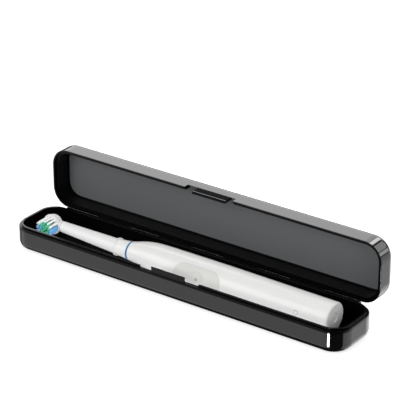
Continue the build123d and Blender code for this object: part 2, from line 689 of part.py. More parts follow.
# ---------------------------------------------------------------- round brush plate
with BuildPart() as brush_plate:
    with BuildSketch(Plane.XY.offset(AXIS_Z)):
        with BuildLine():
            Polyline((HEAD_X, HOUSING_BACK - 1.1), (HEAD_X + AXLE_R, HOUSING_BACK - 1.1),
                     (HEAD_X + AXLE_R, PLATE_BACK), (HEAD_X + PLATE_R - 0.3, PLATE_BACK),
                     (HEAD_X + PLATE_R, PLATE_BACK - 0.3), (HEAD_X + PLATE_R, PLATE_FRONT + 0.6),
                     (HEAD_X + PLATE_R - 0.2, PLATE_FRONT + 0.2), (HEAD_X + PLATE_R - 0.6, PLATE_FRONT),
                     (HEAD_X, PLATE_FRONT), (HEAD_X, HOUSING_BACK - 1.1))
        make_face()
    revolve(axis=HEAD_AXIS)
    # fork that the crank ball works in
    with BuildSketch(bristle_side(-PLATE_BACK)):
        with Locations((CRANK_X, 0)):
            Rectangle(1.2, 2 * BALL_R + 1.8)
            Rectangle(1.2, 2 * BALL_R + 0.2, mode=Mode.SUBTRACT)
    extrude(amount=-2.0)
save(brush_plate.part, "brush_plate")

# ---------------------------------------------------------------- bristle tufts
TUFT_RINGS = ((5.15, 14), (3.05, 8), (1.0, 3))      # (ring radius, tufts in it)
STRAND_R = 0.17
STRANDS = [(0.0, 0.0)]
STRANDS += [(0.33 * cos(radians(60 * k)), 0.33 * sin(radians(60 * k))) for k in range(6)]
STRANDS += [(0.58 * cos(radians(60 * k + 30)), 0.58 * sin(radians(60 * k + 30))) for k in range(6)]
with BuildPart() as bristle_tufts:
    with BuildSketch(bristle_side(-PLATE_FRONT)):
        with Locations((HEAD_X, 0)):
            Circle(PLATE_R - 0.75)
    extrude(amount=0.3)
    strand_places = []
    for ring_r, tufts in TUFT_RINGS:
        for k in range(tufts):
            turn = 2 * pi * (k + 0.5) / tufts
            for dx, dz in STRANDS:
                strand_places.append((HEAD_X + ring_r * cos(turn) + dx, ring_r * sin(turn) + dz))
    with BuildSketch(bristle_side(-PLATE_FRONT + 0.2)):
        with Locations(*strand_places):
            RegularPolygon(STRAND_R, 3)
    extrude(amount=TUFT_L)
save(bristle_tufts.part, "bristle_tufts")

print("bristle strands", len(strand_places))
print("shut height", BASE_H + SEAM + LID_D)
print("brush length", CAP_END - (HEAD_X - PLATE_R))
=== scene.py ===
# %% [markdown]
# # An electric toothbrush in its travel case
#
# A slim black case stands open on a white table, and a rechargeable toothbrush lies in its tray.
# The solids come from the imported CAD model, which is loaded first and never moved. Blender adds
# what a solid can't hold: finishes, light, and the hundreds of nylon strands of the brush.

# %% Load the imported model
from math import cos, pi, radians, sin

import bmesh
import bpy
from mathutils import Matrix, Vector


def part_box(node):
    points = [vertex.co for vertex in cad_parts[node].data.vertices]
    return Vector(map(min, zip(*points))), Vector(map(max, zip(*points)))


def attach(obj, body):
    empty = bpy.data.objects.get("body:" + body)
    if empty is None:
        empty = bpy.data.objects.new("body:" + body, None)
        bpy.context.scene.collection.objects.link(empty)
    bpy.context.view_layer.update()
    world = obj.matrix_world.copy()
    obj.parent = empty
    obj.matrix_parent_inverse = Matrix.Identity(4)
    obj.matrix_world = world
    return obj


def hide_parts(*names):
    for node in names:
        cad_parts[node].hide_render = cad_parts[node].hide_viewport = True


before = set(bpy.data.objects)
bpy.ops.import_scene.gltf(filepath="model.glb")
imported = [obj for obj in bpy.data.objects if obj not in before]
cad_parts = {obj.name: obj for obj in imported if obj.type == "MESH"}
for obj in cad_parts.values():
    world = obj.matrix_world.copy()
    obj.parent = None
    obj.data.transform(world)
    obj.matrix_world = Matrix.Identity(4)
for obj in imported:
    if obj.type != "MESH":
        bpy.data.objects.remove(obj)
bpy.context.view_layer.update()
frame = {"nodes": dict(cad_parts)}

MM = 0.001                                    # Blender works in metres, this object in millimetres
nodes = frame["nodes"]

# %% [markdown]
# ## How a finish is written
#
# A finish is a tree of shader nodes, from a pattern to a shader. Clicking it together would work
# once. Written down, it can be read, changed and made again. One small function adds any node with
# its settings and links. Colours are sRGB hex, as a paint chart gives them, and one function turns
# them to the linear values that the renderer adds and multiplies.

# %% Colours and nodes
def linear(hex_code):
    """An sRGB hex colour as the linear RGBA that Blender's sockets take."""
    parts = [int(hex_code[i:i + 2], 16) / 255 for i in (0, 2, 4)]
    return [c / 12.92 if c <= 0.04045 else ((c + 0.055) / 1.055) ** 2.4 for c in parts] + [1.0]


def fill_input(tree, target, value):
    """Links a socket to an input, or sets a number, a vector or a hex colour on it."""
    if isinstance(value, bpy.types.NodeSocket):
        tree.links.new(value, target)
    else:
        target.default_value = linear(value) if isinstance(value, str) else value


def add(tree, kind, *values, out=0, inputs=None, **settings):
    """Adds one node and returns one of its outputs.

    values fill the node's first inputs in order, inputs fills others by name or number, and
    settings are the node's own properties.
    """
    node = tree.nodes.new(kind)
    for name, value in settings.items():
        setattr(node, name, value)
    for key, value in [*enumerate(values), *(inputs or {}).items()]:
        fill_input(tree, node.inputs[key], value)
    return node.outputs[out] if len(node.outputs) else None


MATH, VECTOR_MATH = "ShaderNodeMath", "ShaderNodeVectorMath"
SPLIT, JOIN = "ShaderNodeSeparateXYZ", "ShaderNodeCombineXYZ"
RANGE = "ShaderNodeMapRange"                  # value, from low, from high, to low, to high
MIX = "ShaderNodeMix"                         # its first input is the amount
NUMBER_A, NUMBER_B = 2, 3                     # where Mix and Random Value have their two numbers
COLOUR_A, COLOUR_B, COLOUR_OUT = 6, 7, 2      # where a Mix node set to RGBA has its colours
print("the middle grey 808080 is", round(linear("808080")[0], 3), "in linear light")

# %% [markdown]
# ## Starting and wearing a finish
#
# A finish reads the object's own coordinates, in metres, so its pattern stays on the piece when the
# piece moves, and a pattern's scale can be a real size. Most marks on moulded plastic are fine
# noise: round for dust and grain, drawn out along an axis for hairlines.

# %% Finish helpers
def start_finish(name):
    """A new material: (material, node tree, object coordinates)."""
    finish = bpy.data.materials.new(name)
    finish.use_nodes = True
    tree = finish.node_tree
    return finish, tree, add(tree, "ShaderNodeTexCoord", out="Object")


def set_shader(tree, inputs):
    """Fills inputs of the material's Principled shader, and returns its output."""
    shader = tree.nodes["Principled BSDF"]
    for key, value in inputs.items():
        fill_input(tree, shader.inputs[key], value)
    return shader.outputs[0]


def speckle(tree, place, size_mm, detail=2.0, stretch=(1, 1, 1)):
    """Noise from 0 to 1 in blotches size_mm across, drawn out where stretch is below 1."""
    scaled = add(tree, "ShaderNodeMapping", place, inputs={"Scale": stretch})
    return add(tree, "ShaderNodeTexNoise", out="Fac", inputs={
        "Vector": scaled, "Scale": 1 / (size_mm * MM), "Detail": detail})


def dress(names, finish):
    """Puts a finish on CAD nodes. Their meshes aren't touched."""
    for name in names:
        for holder in nodes[name].material_slots:
            holder.material = finish


print("pieces to dress:", ", ".join(nodes))

# %% [markdown]
# ## The camera
#
# The case is seen from its right front corner and from above. Its long edges give the direction,
# and how fast they draw together gives the distance, a little over a metre. From so far away the
# lens is long. The camera looks at a point above the case, because the case lies low in the frame.

# %% Camera
VIEW_TURN, VIEW_RISE = radians(35.707), radians(25.166)
VIEW_DISTANCE = 1153.871 * MM
VIEW_TARGET = Vector((4.075, 8.0, 55.849)) * MM
SENSOR_MM = 36
FOCAL_PIXELS, FRAME_PIXELS = 1966.824, 400

to_camera = Vector((sin(VIEW_TURN) * cos(VIEW_RISE), -cos(VIEW_TURN) * cos(VIEW_RISE),
                    sin(VIEW_RISE)))
camera = bpy.data.objects.new("camera", bpy.data.cameras.new("camera"))
camera.data.sensor_width = SENSOR_MM
camera.data.lens = FOCAL_PIXELS / FRAME_PIXELS * SENSOR_MM
camera.data.clip_start, camera.data.clip_end = 0.01, 20
camera.location = VIEW_TARGET + to_camera * VIEW_DISTANCE
camera.rotation_euler = to_camera.to_track_quat("Z", "Y").to_euler()
bpy.context.collection.objects.link(camera)
bpy.context.scene.camera = camera
bpy.context.scene.view_settings.view_transform = "Standard"
print("camera lens", round(camera.data.lens, 1), "mm at", [round(v, 3) for v in camera.location])

# %% [markdown]
# ## The room that gloss mirrors
#
# Black gloss has almost no colour of its own: it shows the room. A photographer would hang white
# cards and softboxes round the case. Real lamps could do it here too, but each would also light
# everything else. So the world shader draws the cards, and only mirror-like rays see them. Soft
# rays meet an even light, a little stronger from the front, and the camera sees plain white.

# %% Cards in the world shader
FILL, FRONT_FILL = 0.40, 0.1                  # even light from the whole room, and more in front
DARK_ROOM, WHITE = 0.02, 1.0
FEATHER = 3.0                                 # degrees over which a card's edge fades
CARDS = (                                     # compass from the front towards the right, height,
    (-38, 20, 26, 17, 2.6),                   # half width, half height in degrees, brightness
    (-146, 32, 36, 22, 2.75),
    (-178, 45, 7, 15, 6.0),
    (151, 33, 13, 14, 3.0),
    (135, 9, 16, 4.5, 4.0),
    (-36.5, -25.5, 45.5, 22.5, 1.15),         # below the horizon, where the white table is
    (-112, -28, 28, 24, 0.35),
    (136, -30, 50, 28, 1.28),
    (178, -35, 24, 35, 0.5),
    (0, 90, 180, 28, 0.35),                   # a dim ceiling
)

world = bpy.data.worlds.new("studio")
bpy.context.scene.world = world
world.use_nodes = True
room = world.node_tree
room.nodes.clear()
right, back, up = add(room, SPLIT, add(room, "ShaderNodeTexCoord", out="Generated")).node.outputs
front = add(room, MATH, back, -1.0, operation="MULTIPLY")
compass = add(room, MATH, right, front, operation="ARCTAN2")
compass = add(room, MATH, compass, 180 / pi, operation="MULTIPLY")
height = add(room, MATH, up, operation="ARCSINE")
height = add(room, MATH, height, 180 / pi, operation="MULTIPLY")


def near_angle(angle, middle, half_width):
    """1 within half_width degrees of middle, fading to 0 outside."""
    off = add(room, MATH, angle, middle, operation="SUBTRACT")
    around = add(room, MATH, off, 180, -180, operation="WRAP")
    away = add(room, MATH, around, operation="ABSOLUTE")
    return add(room, RANGE, away, half_width, half_width + FEATHER, 1.0, 0.0)


mirrored = DARK_ROOM
for middle, rise, half_width, half_height, brightness in CARDS:
    card = add(room, MATH, near_angle(compass, middle, half_width),
               near_angle(height, rise, half_height), operation="MULTIPLY")
    mirrored = add(room, MATH, card, brightness, mirrored, operation="MULTIPLY_ADD")
print("cards in the room:", len(CARDS))

# %% Who sees what
ray = add(room, "ShaderNodeLightPath").node.outputs
fill = add(room, RANGE, front, 0.0, 1.0, FILL, FILL + FRONT_FILL)
strength = add(room, MIX, ray["Is Glossy Ray"], inputs={NUMBER_A: fill, NUMBER_B: mirrored})
for kind in ("Is Camera Ray", "Is Transmission Ray"):
    strength = add(room, MIX, ray[kind], inputs={NUMBER_A: strength, NUMBER_B: WHITE})
light = add(room, "ShaderNodeBackground", "ffffff", strength)
add(room, "ShaderNodeOutputWorld", light)
print("world nodes:", len(room.nodes))

# %% [markdown]
# ## Lamps
#
# Three large softboxes give form and a soft shadow. A black tray swallows the light that would
# reach the flanks of a white brush, so a photographer slips white cards round it. Here lamps do
# that, linked to the brush alone: they light only the brush, only the brush shades them, and the
# tray lets them pass. One of them lies along the tray's front wall, so its light fades once the
# brush is lifted out.

# %% Softboxes
AIM = Vector((0, 0, 20)) * MM                 # the middle of the case


def softbox(name, place_mm, size_mm, watts, only=None):
    """A square lamp that faces the case and shows in no reflection.

    With only, a collection, it lights these pieces alone, and only they shade it.
    """
    lamp = bpy.data.lights.new(name, "AREA")
    lamp.shape, lamp.size, lamp.energy = "SQUARE", size_mm * MM, watts
    holder = bpy.data.objects.new(name, lamp)
    holder.location = Vector(place_mm) * MM
    holder.rotation_euler = (holder.location - AIM).to_track_quat("Z", "Y").to_euler()
    holder.visible_glossy = False
    if only is not None:
        holder.light_linking.receiver_collection = only
        holder.light_linking.blocker_collection = only
    bpy.context.collection.objects.link(holder)
    return holder


softbox("front_softbox", (-250, -900, 420), 700, 2.9)
softbox("top_softbox", (150, 300, 1100), 900, 0.8)
softbox("right_softbox", (900, -300, 350), 500, 2.0)

# %% Cards round the brush
brush_pieces = bpy.data.collections.new("brush_pieces")
for name in ("handle_shell", "end_cap", "control_pad", "power_button", "charge_light",
             "status_led", "power_mark", "head_collar", "id_ring", "neck_tube", "brush_plate"):
    brush_pieces.objects.link(nodes[name])
bristle_pieces = bpy.data.collections.new("bristle_pieces")

TRAY_CARD_MM = (236, 10.5)                    # as long as the tray and as high as its front wall
tray_card = softbox("tray_card", (0, -17.3, 8.2), TRAY_CARD_MM[0], 0.018, brush_pieces)
tray_card.data.shape, tray_card.data.size_y = "RECTANGLE", TRAY_CARD_MM[1] * MM
softbox("low_reflector", (-120, -780, -340), 500, 1.8, brush_pieces)
softbox("rear_reflector", (-60, 520, 860), 500, 2.9, brush_pieces)
softbox("head_reflector", (420, -760, 420), 300, 6.0, bristle_pieces)

# %% A strip light
# the corner of the base mirrors it as one white line; it stands close by and shines at the corner
# in a narrow beam, so that the long walls don't mirror it too, and it shows in gloss only
CORNER = Vector((112, -14, 7)) * MM
BEAM = radians(30)
strip = softbox("strip_light", (128, -283, -133), 50, 0.02)
strip.data.spread = BEAM
strip.rotation_euler = (strip.location - CORNER).to_track_quat("Z", "Y").to_euler()
strip.visible_glossy, strip.visible_diffuse, strip.visible_camera = True, False, False

# %% [markdown]
# ## The table
#
# A white laminate table fades into a white room. More light would bleach the brush as well, so the
# table glows a little, but for the camera alone. Gloss sees the low cards of the world instead.

# %% White table
TABLE_SIZE, TABLE_GLOW = 6.0, 0.66
bpy.ops.mesh.primitive_plane_add(size=TABLE_SIZE, location=(0, 0, 0))
table = bpy.context.object
table.name = "table"
table.visible_glossy = False
laminate, tree, place = start_finish("white_laminate")    # matt and even, so only shadows show
surface = set_shader(tree, {"Base Color": "f4f4f4", "Roughness": 0.6})
glow = add(tree, "ShaderNodeEmission", "ffffff", TABLE_GLOW)
shown = add(tree, "ShaderNodeAddShader", surface, glow)
seen = add(tree, "ShaderNodeLightPath", out="Is Camera Ray")
fill_input(tree, tree.nodes["Material Output"].inputs["Surface"],
           add(tree, "ShaderNodeMixShader", seen, surface, shown))
table.data.materials.append(laminate)
print("table", TABLE_SIZE, "m across")

# %% [markdown]
# ## Black ABS shells
#
# Both halves of the case are moulded from black ABS. Their outer skin comes from a polished mould
# and mirrors the room. Their inner faces, the lip, the rim and the hinge come from a mould with a
# fine texture, which scatters the mirror. These areas are also painted darker, and their mirror is
# dimmed: painted shade. Painting each area by hand would need a map. Here the shape itself says
# where it is: from a point's place and its normal.

# %% Inner faces and skin of a shell
POLISH, HAIRLINE = 0.05, 0.09                 # roughness of the skin, and where a hairline dulls it
TEXTURE, PAINTED_SHADE_TINT = 0.28, "2c2c2c"       # the texture's roughness, and the dimmed mirror tint of painted shade
FADE = 0.1 * MM                               # over which one area passes into the next
DUST_MM, HAIR_MM = 1.2, 0.5                   # specks and hairlines, coarser than real ones, which
HAIR_STRETCH = (0.12, 1, 1)                   # are too fine to show; hairlines run along the case


def start_shell(name, centre_mm, open_axis):
    """Starts a shell's finish: (material, tree, place, normal, mask of the inner faces).

    A face is an inner one if its normal points to the middle of the shell, seen along the axis
    along which the shell opens.
    """
    finish, tree, place = start_finish(name)
    keep = [0.0 if axis == open_axis else 1.0 for axis in "xyz"]
    outward = add(tree, "ShaderNodeMapping", place, inputs={
        "Location": [-c * k * MM for c, k in zip(centre_mm, keep)], "Scale": keep})
    normal = add(tree, "ShaderNodeTexCoord", out="Normal")
    lean = add(tree, VECTOR_MATH, outward, normal, out="Value", operation="DOT_PRODUCT")
    inner = add(tree, RANGE, lean, -5 * FADE, -FADE, 1.0, 0.0)
    return finish, tree, place, normal, inner


def black_skin(tree, place, texture_and_painted_shade):
    """Shader inputs of polished black ABS with faint dust and hairlines, and its textured areas,
    painted darker with a dimmed mirror as painted shade.
    """
    dust = add(tree, RANGE, speckle(tree, place, DUST_MM, 4.0), 0.55, 0.8, 0.0, 0.6)
    skin = add(tree, MIX, dust, data_type="RGBA", out=COLOUR_OUT, inputs={
        COLOUR_A: "0b0b0c", COLOUR_B: "1a1a1b"})
    hairs = speckle(tree, place, HAIR_MM, 3.0, HAIR_STRETCH)
    polish = add(tree, RANGE, hairs, 0.45, 0.8, POLISH, HAIRLINE)
    return {
        "IOR": 1.5,
        # the textured areas get a darker colour and a dimmed mirror: painted shade
        "Base Color": add(tree, MIX, texture_and_painted_shade, data_type="RGBA", out=COLOUR_OUT, inputs={
            COLOUR_A: skin, COLOUR_B: "050505"}),
        "Specular Tint": add(tree, MIX, texture_and_painted_shade, data_type="RGBA", out=COLOUR_OUT, inputs={
            COLOUR_A: "ffffff", COLOUR_B: PAINTED_SHADE_TINT}),
        "Roughness": add(tree, MIX, texture_and_painted_shade, inputs={NUMBER_A: polish, NUMBER_B: TEXTURE})}


print("skin roughness", POLISH, "to", HAIRLINE, "and texture roughness", TEXTURE)

# %% The base
BASE_MIDDLE_MM = (0, 0, 7)
LIP_Z = 13.3 * MM                             # the raised lip starts above the skin here
HINGE_Y, HINGE_LOW_Z = 18.4 * MM, 9.0 * MM    # the knuckles stand behind and above these planes

# black gloss: what it mirrors is its look, and the lip, textured and darkened with painted shade,
# draws a black line round the tray
base_black, tree, place, normal, inner = start_shell("gloss_black_abs", BASE_MIDDLE_MM, "z")
along, depth, above = add(tree, SPLIT, place).node.outputs
lip = add(tree, RANGE, above, LIP_Z - FADE, LIP_Z, 0.0, 1.0)
knuckles = add(tree, MATH, add(tree, RANGE, depth, HINGE_Y - 2 * FADE, HINGE_Y, 0.0, 1.0),
               add(tree, RANGE, above, HINGE_LOW_Z - 2 * FADE, HINGE_LOW_Z, 0.0, 1.0),
               operation="MULTIPLY")
# inner faces, lip and knuckles: a rougher texture, and painted shade that darkens them
texture_and_painted_shade = add(tree, MATH, inner, lip, operation="MAXIMUM")
texture_and_painted_shade = add(tree, MATH, texture_and_painted_shade, knuckles, operation="MAXIMUM")
set_shader(tree, black_skin(tree, place, texture_and_painted_shade))
dress(("base_shell", "cradle_front", "cradle_rear"), base_black)
print("base finish nodes:", len(tree.nodes))

# %% [markdown]
# ## The lid
#
# The lid has the same skin. Its flat inner floor is a matt grey panel: a coarser texture in the
# mould breaks the mirror up altogether and leaves an even grey sheen.

# %% The lid
LID_MIDDLE_MM = (0, 29, 33.8)
LID_RIM_Y = 24.6 * MM                         # its rim and knuckles stand in front of this plane
LID_PANEL_Y = 34.3 * MM                       # its inner floor stands behind this one
HINGE_TOP_Z = 19.0 * MM                       # and its knuckles lie below this one
TURNED_AWAY, SQUARE_ON = -0.95, -0.99         # y of the normals between which a face turns forward
PANEL_GREY, PANEL_SHEEN, PANEL_ROUGHNESS = "6d6f71", "505050", 0.552

# the same black gloss, with painted shade on its inner faces, rim and knuckles, round a panel that
# looks a soft, even grey
lid_black, tree, place, normal, inner = start_shell("gloss_black_abs_lid", LID_MIDDLE_MM, "y")
along, depth, above = add(tree, SPLIT, place).node.outputs
facing_front = add(tree, RANGE, add(tree, SPLIT, normal, out=1), TURNED_AWAY, SQUARE_ON, 0.0, 1.0)
before_rim = add(tree, RANGE, depth, LID_RIM_Y, LID_RIM_Y + FADE, 1.0, 0.0)
rim = add(tree, MATH, facing_front, before_rim, operation="MULTIPLY")
knuckles = add(tree, MATH, before_rim, add(
    tree, RANGE, above, HINGE_TOP_Z, HINGE_TOP_Z + 2 * FADE, 1.0, 0.0), operation="MULTIPLY")
# inner faces, rim and knuckles: a rougher texture, and painted shade that darkens them
texture_and_painted_shade = add(tree, MATH, inner, rim, operation="MAXIMUM")
texture_and_painted_shade = add(tree, MATH, texture_and_painted_shade, knuckles, operation="MAXIMUM")
panel = add(tree, MATH, facing_front, add(
    tree, RANGE, depth, LID_PANEL_Y - FADE, LID_PANEL_Y, 0.0, 1.0), operation="MULTIPLY")

skin = black_skin(tree, place, texture_and_painted_shade)
for key, colour in (("Base Color", PANEL_GREY), ("Specular Tint", PANEL_SHEEN)):
    skin[key] = add(tree, MIX, panel, data_type="RGBA", out=COLOUR_OUT, inputs={
        COLOUR_A: skin[key], COLOUR_B: colour})
skin["Roughness"] = add(tree, MIX, panel, inputs={
    NUMBER_A: skin["Roughness"], NUMBER_B: PANEL_ROUGHNESS})
set_shader(tree, skin)
dress(("lid_shell",), lid_black)
print("lid finish nodes:", len(tree.nodes))

# %% [markdown]
# ## The tongue of the catch
#
# The tongue bends each time the case is opened, so it is a separate black POM moulding, tougher
# than ABS and a little waxy. Fingers have rubbed fine strokes into it along its length.

# %% Black POM
STROKE_MM, STROKE_STRETCH = 0.4, (0.1, 1, 1)  # real strokes are too fine to show

# satin black: a soft grey sheen instead of a mirror
satin_black, tree, place = start_finish("satin_black_pom")
strokes = speckle(tree, place, STROKE_MM, 3.0, STROKE_STRETCH)
set_shader(tree, {"Base Color": "060606", "IOR": 1.48, "Specular Tint": "909090",
                  "Roughness": add(tree, RANGE, strokes, 0.4, 0.8, 0.26, 0.4)})
dress(("latch_tongue",), satin_black)
print("tongue:", satin_black.name)

# %% [markdown]
# ## White handle and refill head
#
# The handle and its cap are glossy white ABS, the refill head is white POM. Neither is perfectly
# smooth: a moulded skin has a faint orange peel, and wear dulls it in fine streaks. Both are finer
# than a pixel here, so they show only as a soft edge to each highlight.

# %% Glossy white plastics
PEEL_MM, PEEL_DEPTH = 2.0, 0.004 * MM         # the waves of orange peel, in their real size
STREAK_MM, STREAK_STRETCH = 0.4, (0.2, 1, 1)  # streaks of wear, wider than real ones
WEAR = 0.12                                   # how much rougher a streak is


def gloss_plastic(name, colour, roughness):
    """A glossy moulding: (material, tree, place)."""
    finish, tree, place = start_finish(name)
    peel = speckle(tree, place, PEEL_MM)
    streaks = speckle(tree, place, STREAK_MM, 4.0, STREAK_STRETCH)
    set_shader(tree, {
        "Base Color": colour, "IOR": 1.45,
        "Roughness": add(tree, RANGE, streaks, 0.4, 0.8, roughness, roughness + WEAR),
        "Normal": add(tree, "ShaderNodeBump", inputs={
            "Height": peel, "Distance": PEEL_DEPTH, "Strength": 0.5})})
    return finish, tree, place


HEAD_WHITE = "f6f6f5"
SEAM_X = -96.1 * MM                           # where the neck passes into the round housing
SEAM_HALF, SEAM_END = 0.12 * MM, 0.3 * MM     # full grey up to here, gone from there

# wet-looking white: soft broad highlights along the barrel
dress(("handle_shell", "end_cap"), gloss_plastic("gloss_white_abs", "f3f3f2", 0.16)[0])
# slightly waxier and cooler than the handle
dress(("head_collar", "brush_plate"), gloss_plastic("gloss_white_pom", HEAD_WHITE, 0.2)[0])
# a blue band tells users' heads apart: the one clear colour on the handle side
dress(("id_ring",), gloss_plastic("blue_abs_ring", "1277b2", 0.3)[0])

# the same white, with a fine grey parting line where two parts of the mould met
neck_white, tree, place = gloss_plastic("gloss_white_pom_neck", HEAD_WHITE, 0.2)
off_seam = add(tree, MATH, add(tree, SPLIT, place), SEAM_X, operation="SUBTRACT")
off_seam = add(tree, MATH, off_seam, operation="ABSOLUTE")
seam = add(tree, RANGE, off_seam, SEAM_HALF, SEAM_END, 1.0, 0.0)
set_shader(tree, {"Base Color": add(tree, MIX, seam, data_type="RGBA", out=COLOUR_OUT, inputs={
    COLOUR_A: HEAD_WHITE, COLOUR_B: "b4b4b2"})})
dress(("neck_tube",), neck_white)
print("white plastics on handle and head")

# %% [markdown]
# ## Button pad
#
# The pad and its button are soft-touch TPE, moulded onto the handle so that wet fingers don't slip.
# Its fine grain scatters light, so beside the gloss it looks like a warm, pale grey patch.

# %% Soft pad and printed mark
PAD_GRAIN_MM, PAD_GRAIN_DEPTH = 0.25, 0.01 * MM     # the mould's grain, twice as coarse as real
INK_GRAIN_MM = 0.15                                 # thin and thick spots of ink, coarser than real

soft_pad, tree, place = start_finish("soft_touch_tpe")    # no highlight at all, only a soft shade
set_shader(tree, {"Base Color": "e0e0dc", "Roughness": 0.55, "IOR": 1.5,
                  "Normal": add(tree, "ShaderNodeBump", inputs={
                      "Height": speckle(tree, place, PAD_GRAIN_MM),
                      "Distance": PAD_GRAIN_DEPTH, "Strength": 0.6})})
dress(("control_pad", "power_button"), soft_pad)

ink, tree, place = start_finish("printed_grey_ink")       # pad-printed: flat grey, a little uneven
grain = add(tree, RANGE, speckle(tree, place, INK_GRAIN_MM, 3.0), 0.3, 0.7, 0.0, 1.0)
set_shader(tree, {"Roughness": 0.5, "Base Color": add(
    tree, MIX, grain, data_type="RGBA", out=COLOUR_OUT, inputs={
        COLOUR_A: "acadb1", COLOUR_B: "bdbec2"})})
dress(("power_mark",), ink)
print("pad:", soft_pad.name, "mark:", ink.name)

# %% [markdown]
# ## Light pipes
#
# Two small light pipes of frosted polycarbonate carry the light of diodes to the skin. Unlit, each
# is a pale disc, and all that one sees is its darker rim. The rim follows from the distance to the
# disc's own middle, which the CAD box of the node gives.

# %% Frosted discs
RIM_FADE_MM = 0.12                            # over which the disc darkens to its rim
FROST_MM, FROST_DEPTH = 0.1, 0.004 * MM       # the grain of the frosting, about real


def light_pipe(name, node_name, rim_mm):
    """Frosted polycarbonate: a pale, milky disc with a moulded rim."""
    finish, tree, place = start_finish(name)
    low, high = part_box(node_name)
    flat = add(tree, "ShaderNodeMapping", place, inputs={
        "Location": [-(low[0] + high[0]) / 2, 0, -(low[2] + high[2]) / 2], "Scale": (1, 0, 1)})
    reach = add(tree, VECTOR_MATH, flat, out="Value", operation="LENGTH")
    rim = add(tree, RANGE, reach, (rim_mm - RIM_FADE_MM) * MM, rim_mm * MM, 0.0, 1.0)
    set_shader(tree, {
        "IOR": 1.585, "Roughness": 0.18,
        "Base Color": add(tree, MIX, rim, data_type="RGBA", out=COLOUR_OUT, inputs={
            COLOUR_A: "fafbfb", COLOUR_B: "d4d6d8"}),
        "Normal": add(tree, "ShaderNodeBump", inputs={
            "Height": speckle(tree, place, FROST_MM), "Distance": FROST_DEPTH,
            "Strength": 0.5})})
    dress((node_name,), finish)
    print(name, "is", round((high[0] - low[0]) / MM, 2), "mm across")


light_pipe("frosted_pc_charge_light", "charge_light", 1.05)
light_pipe("frosted_pc_status_light", "status_led", 0.2)

# %% [markdown]
# ## What is inside
#
# The motor, the cell and the drive show only in a section or an exploded view, but they get real
# finishes too. Bare metals keep the marks of how they were made: lines along drawn and ground
# parts, an even grain on sintered ones. Mouldings have the grain of a spark-eroded mould.

# %% Hidden metals
MARK_DEPTH = 0.01 * MM
# the marks are several times as wide as real ones, so that they show close up
METALS = {  # node: material, colour, roughness, width of the marks in mm, their stretch
    # bright with lines along the wire
    "hinge_pin": ("drawn_stainless_steel", "c9c9c6", 0.3, 0.2, (0.1, 1, 1)),
    # dark red-brown lacquered turns
    "charging_coil": ("enamelled_copper_wire", "b8632c", 0.3, 0.2, (1, 1, 1)),
    # pale, slightly yellow shine, drawn lengthwise
    "battery_cell": ("nickel_plated_can", "b9bcc0", 0.3, 0.3, (0.2, 1, 1)),
    # greyer and duller than nickel
    "motor_can": ("zinc_plated_steel", "aeb2b4", 0.35, 0.3, (0.2, 1, 1)),
    # porous and oily: a dull gold
    "front_bearing": ("sintered_bronze", "a57a45", 0.45, 0.15, (1, 1, 1)),
    "rear_bearing": ("sintered_bronze_rear", "a57a45", 0.45, 0.15, (1, 1, 1)),
    # the brightest metal here, with fine grinding lines
    "drive_shaft": ("ground_steel_shaft", "c2c4c6", 0.2, 0.15, (0.1, 1, 1)),
    # smooth dark mirror
    "rotor_magnet": ("nickel_plated_magnet", "8f9296", 0.3, 0.3, (1, 1, 1)),
}
for node_name, (name, colour, roughness, mark_mm, stretch) in METALS.items():
    finish, tree, place = start_finish(name)
    marks = speckle(tree, place, mark_mm, 2.0, stretch)
    set_shader(tree, {
        "Base Color": colour, "Metallic": 1.0,
        "Roughness": add(tree, RANGE, marks, 0.3, 0.7, roughness - 0.08, roughness + 0.12),
        "Normal": add(tree, "ShaderNodeBump", inputs={
            "Height": marks, "Distance": MARK_DEPTH, "Strength": 0.3})})
    dress((node_name,), finish)
print("hidden metals:", len(METALS))

# %% Hidden mouldings
MOULDINGS = {  # node: material, colour, roughness
    "end_seal": ("black_nitrile_rubber", "1b1b1b", 0.6),           # dull black
    "shaft_seal": ("grey_silicone_rubber", "8d8d8b", 0.6),         # chalky grey
    "coil_bobbin": ("natural_nylon", "ded8c6", 0.5),               # cream, a little waxy
    "chassis": ("grey_glass_filled_nylon", "6b6e71", 0.55),        # dry grey
    "circuit_board": ("green_solder_mask", "1d5b38", 0.35),        # lacquer green with some gloss
    "tact_switch": ("black_pbt", "1c1d1f", 0.5),                   # satin black
    "drive_link": ("white_pom_link", "e8e8e4", 0.35),              # milk white, smooth
}
GRAIN_MM, GRAIN_DEPTH = 0.3, 0.01 * MM        # coarser than real, so that it shows close up
for node_name, (name, colour, roughness) in MOULDINGS.items():
    finish, tree, place = start_finish(name)
    set_shader(tree, {
        "Base Color": colour, "Roughness": roughness, "IOR": 1.5,
        "Normal": add(tree, "ShaderNodeBump", inputs={
            "Height": speckle(tree, place, GRAIN_MM), "Distance": GRAIN_DEPTH,
            "Strength": 0.4})})
    dress((node_name,), finish)
print("hidden mouldings:", len(MOULDINGS))

# %% [markdown]
# ## Dyed nylon
#
# The strands are extruded nylon, dyed before they are cut. One material dyes them by where they
# stand on the round plate: white above, blue on both sides below, green in the middle. The green
# is painted darker towards the root, a painted shade where little light gets in, and all tips are
# painted paler, a painted highlight for the light that their rounded ends let through.

# %% Nylon of the bristles
HEAD_X, AXIS_Z = -104 * MM, 12.4 * MM         # the middle of the round plate
BLUE_TOP, BLUE_FROM, GREEN_TO = 1.2 * MM, 3.2 * MM, 4.0 * MM
DYE_EDGE = 0.05 * MM                          # tufts don't share strands, so a dye's edge is sharp
SHADED_Y, FULL_DYE_Y = -1.0 * MM, -6.0 * MM   # the root of the green strands, darkest in painted shade, and where their full colour begins
PALE_FROM_Y, TIP_Y = -6.6 * MM, -7.4 * MM
TIP_PAINTED_LIGHT = 0.45

